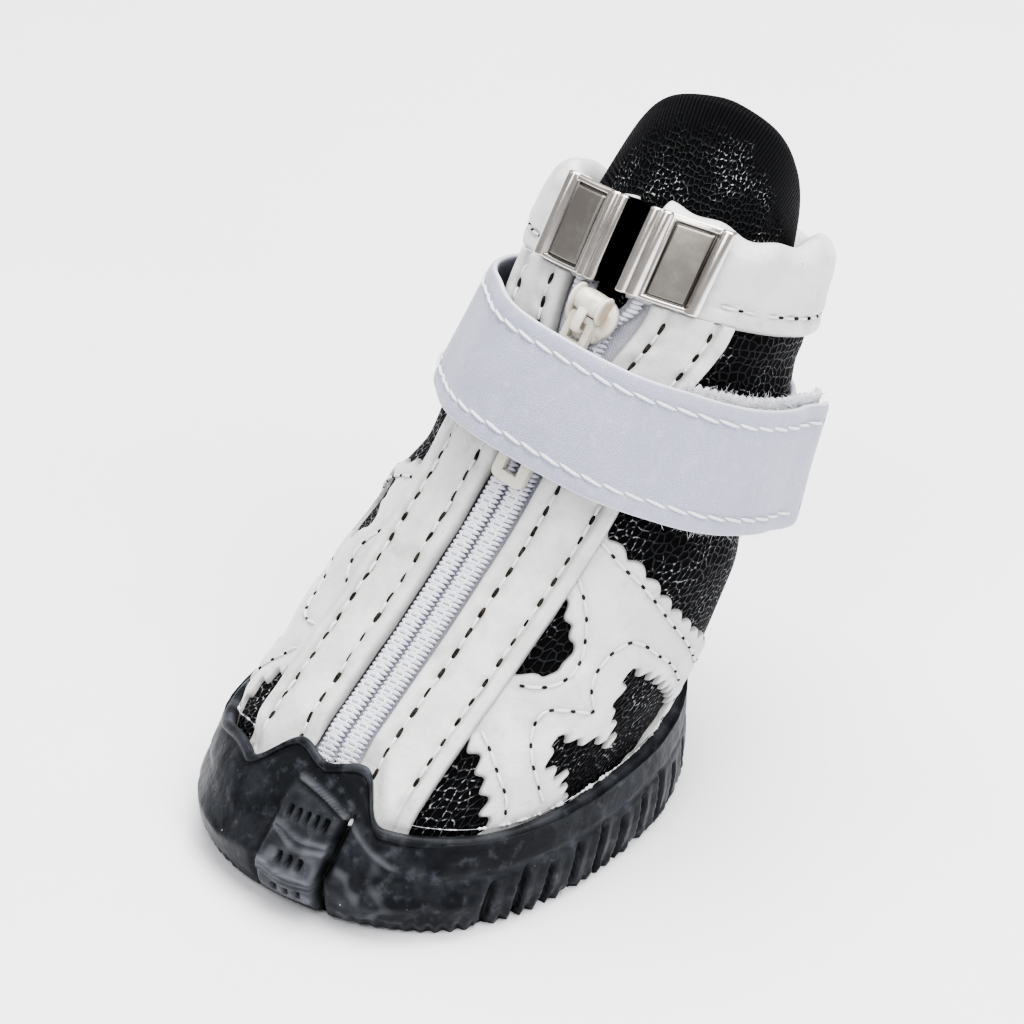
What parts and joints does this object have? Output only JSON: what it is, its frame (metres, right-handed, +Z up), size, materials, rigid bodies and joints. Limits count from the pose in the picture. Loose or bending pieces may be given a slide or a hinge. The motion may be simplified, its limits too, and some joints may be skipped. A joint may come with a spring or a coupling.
{
  "type": "dog boot",
  "caption": "Zip-up dog boot: rubber cup sole, mesh upper with pale strips beside a front zip, tongue, bound collar with end clips and a wrap strap.",
  "frame": {"origin": "middle of the outsole's underside, on the ground plane", "axes": "+Z up, the toe points to -Y, the heel to +Y, +X is the side where the strap's free end lies"},
  "size_m": [0.0689, 0.0992, 0.1041],
  "materials": {
    "rubber": "satin moulded rubber, scuffed and dusty",
    "mesh": "black cell mesh",
    "lining": "dark brushed lining",
    "leather": "pearly ivory synthetic leather",
    "reflective": "grey reflective fabric",
    "thread": "white sewing thread",
    "hook_loop": "white loop pile",
    "tape": "woven zip tape",
    "coil": "silver-grey nylon coil",
    "enamel": "ivory enamel on metal",
    "nickel": "champagne nickel plate"
  },
  "bodies": {
    "boot": {"sole": "rubber", "insole": "lining", "upper": "mesh", "tongue": "mesh", "collar_binding": "leather", "strap": "reflective", "facing_right": "leather", "facing_left": "leather", "zip_tape_right": "tape", "zip_tape_left": "tape", "zip_coil_right": "coil", "zip_coil_left": "coil", "end_clip_right": "nickel", "end_clip_left": "nickel", "zip_slider": "enamel"},
    "zip_pull": {"zip_pull": "enamel"}
  },
  "joints": [
    {"name": "zip_pull_hinge", "type": "hinge", "parent": "boot", "child": "zip_pull", "pos_m": [0.01241, 0.01724, 0.0797], "axis": [-0.9847, 0.0499, 0.1671], "range_deg": [0, 4]}
  ]
}
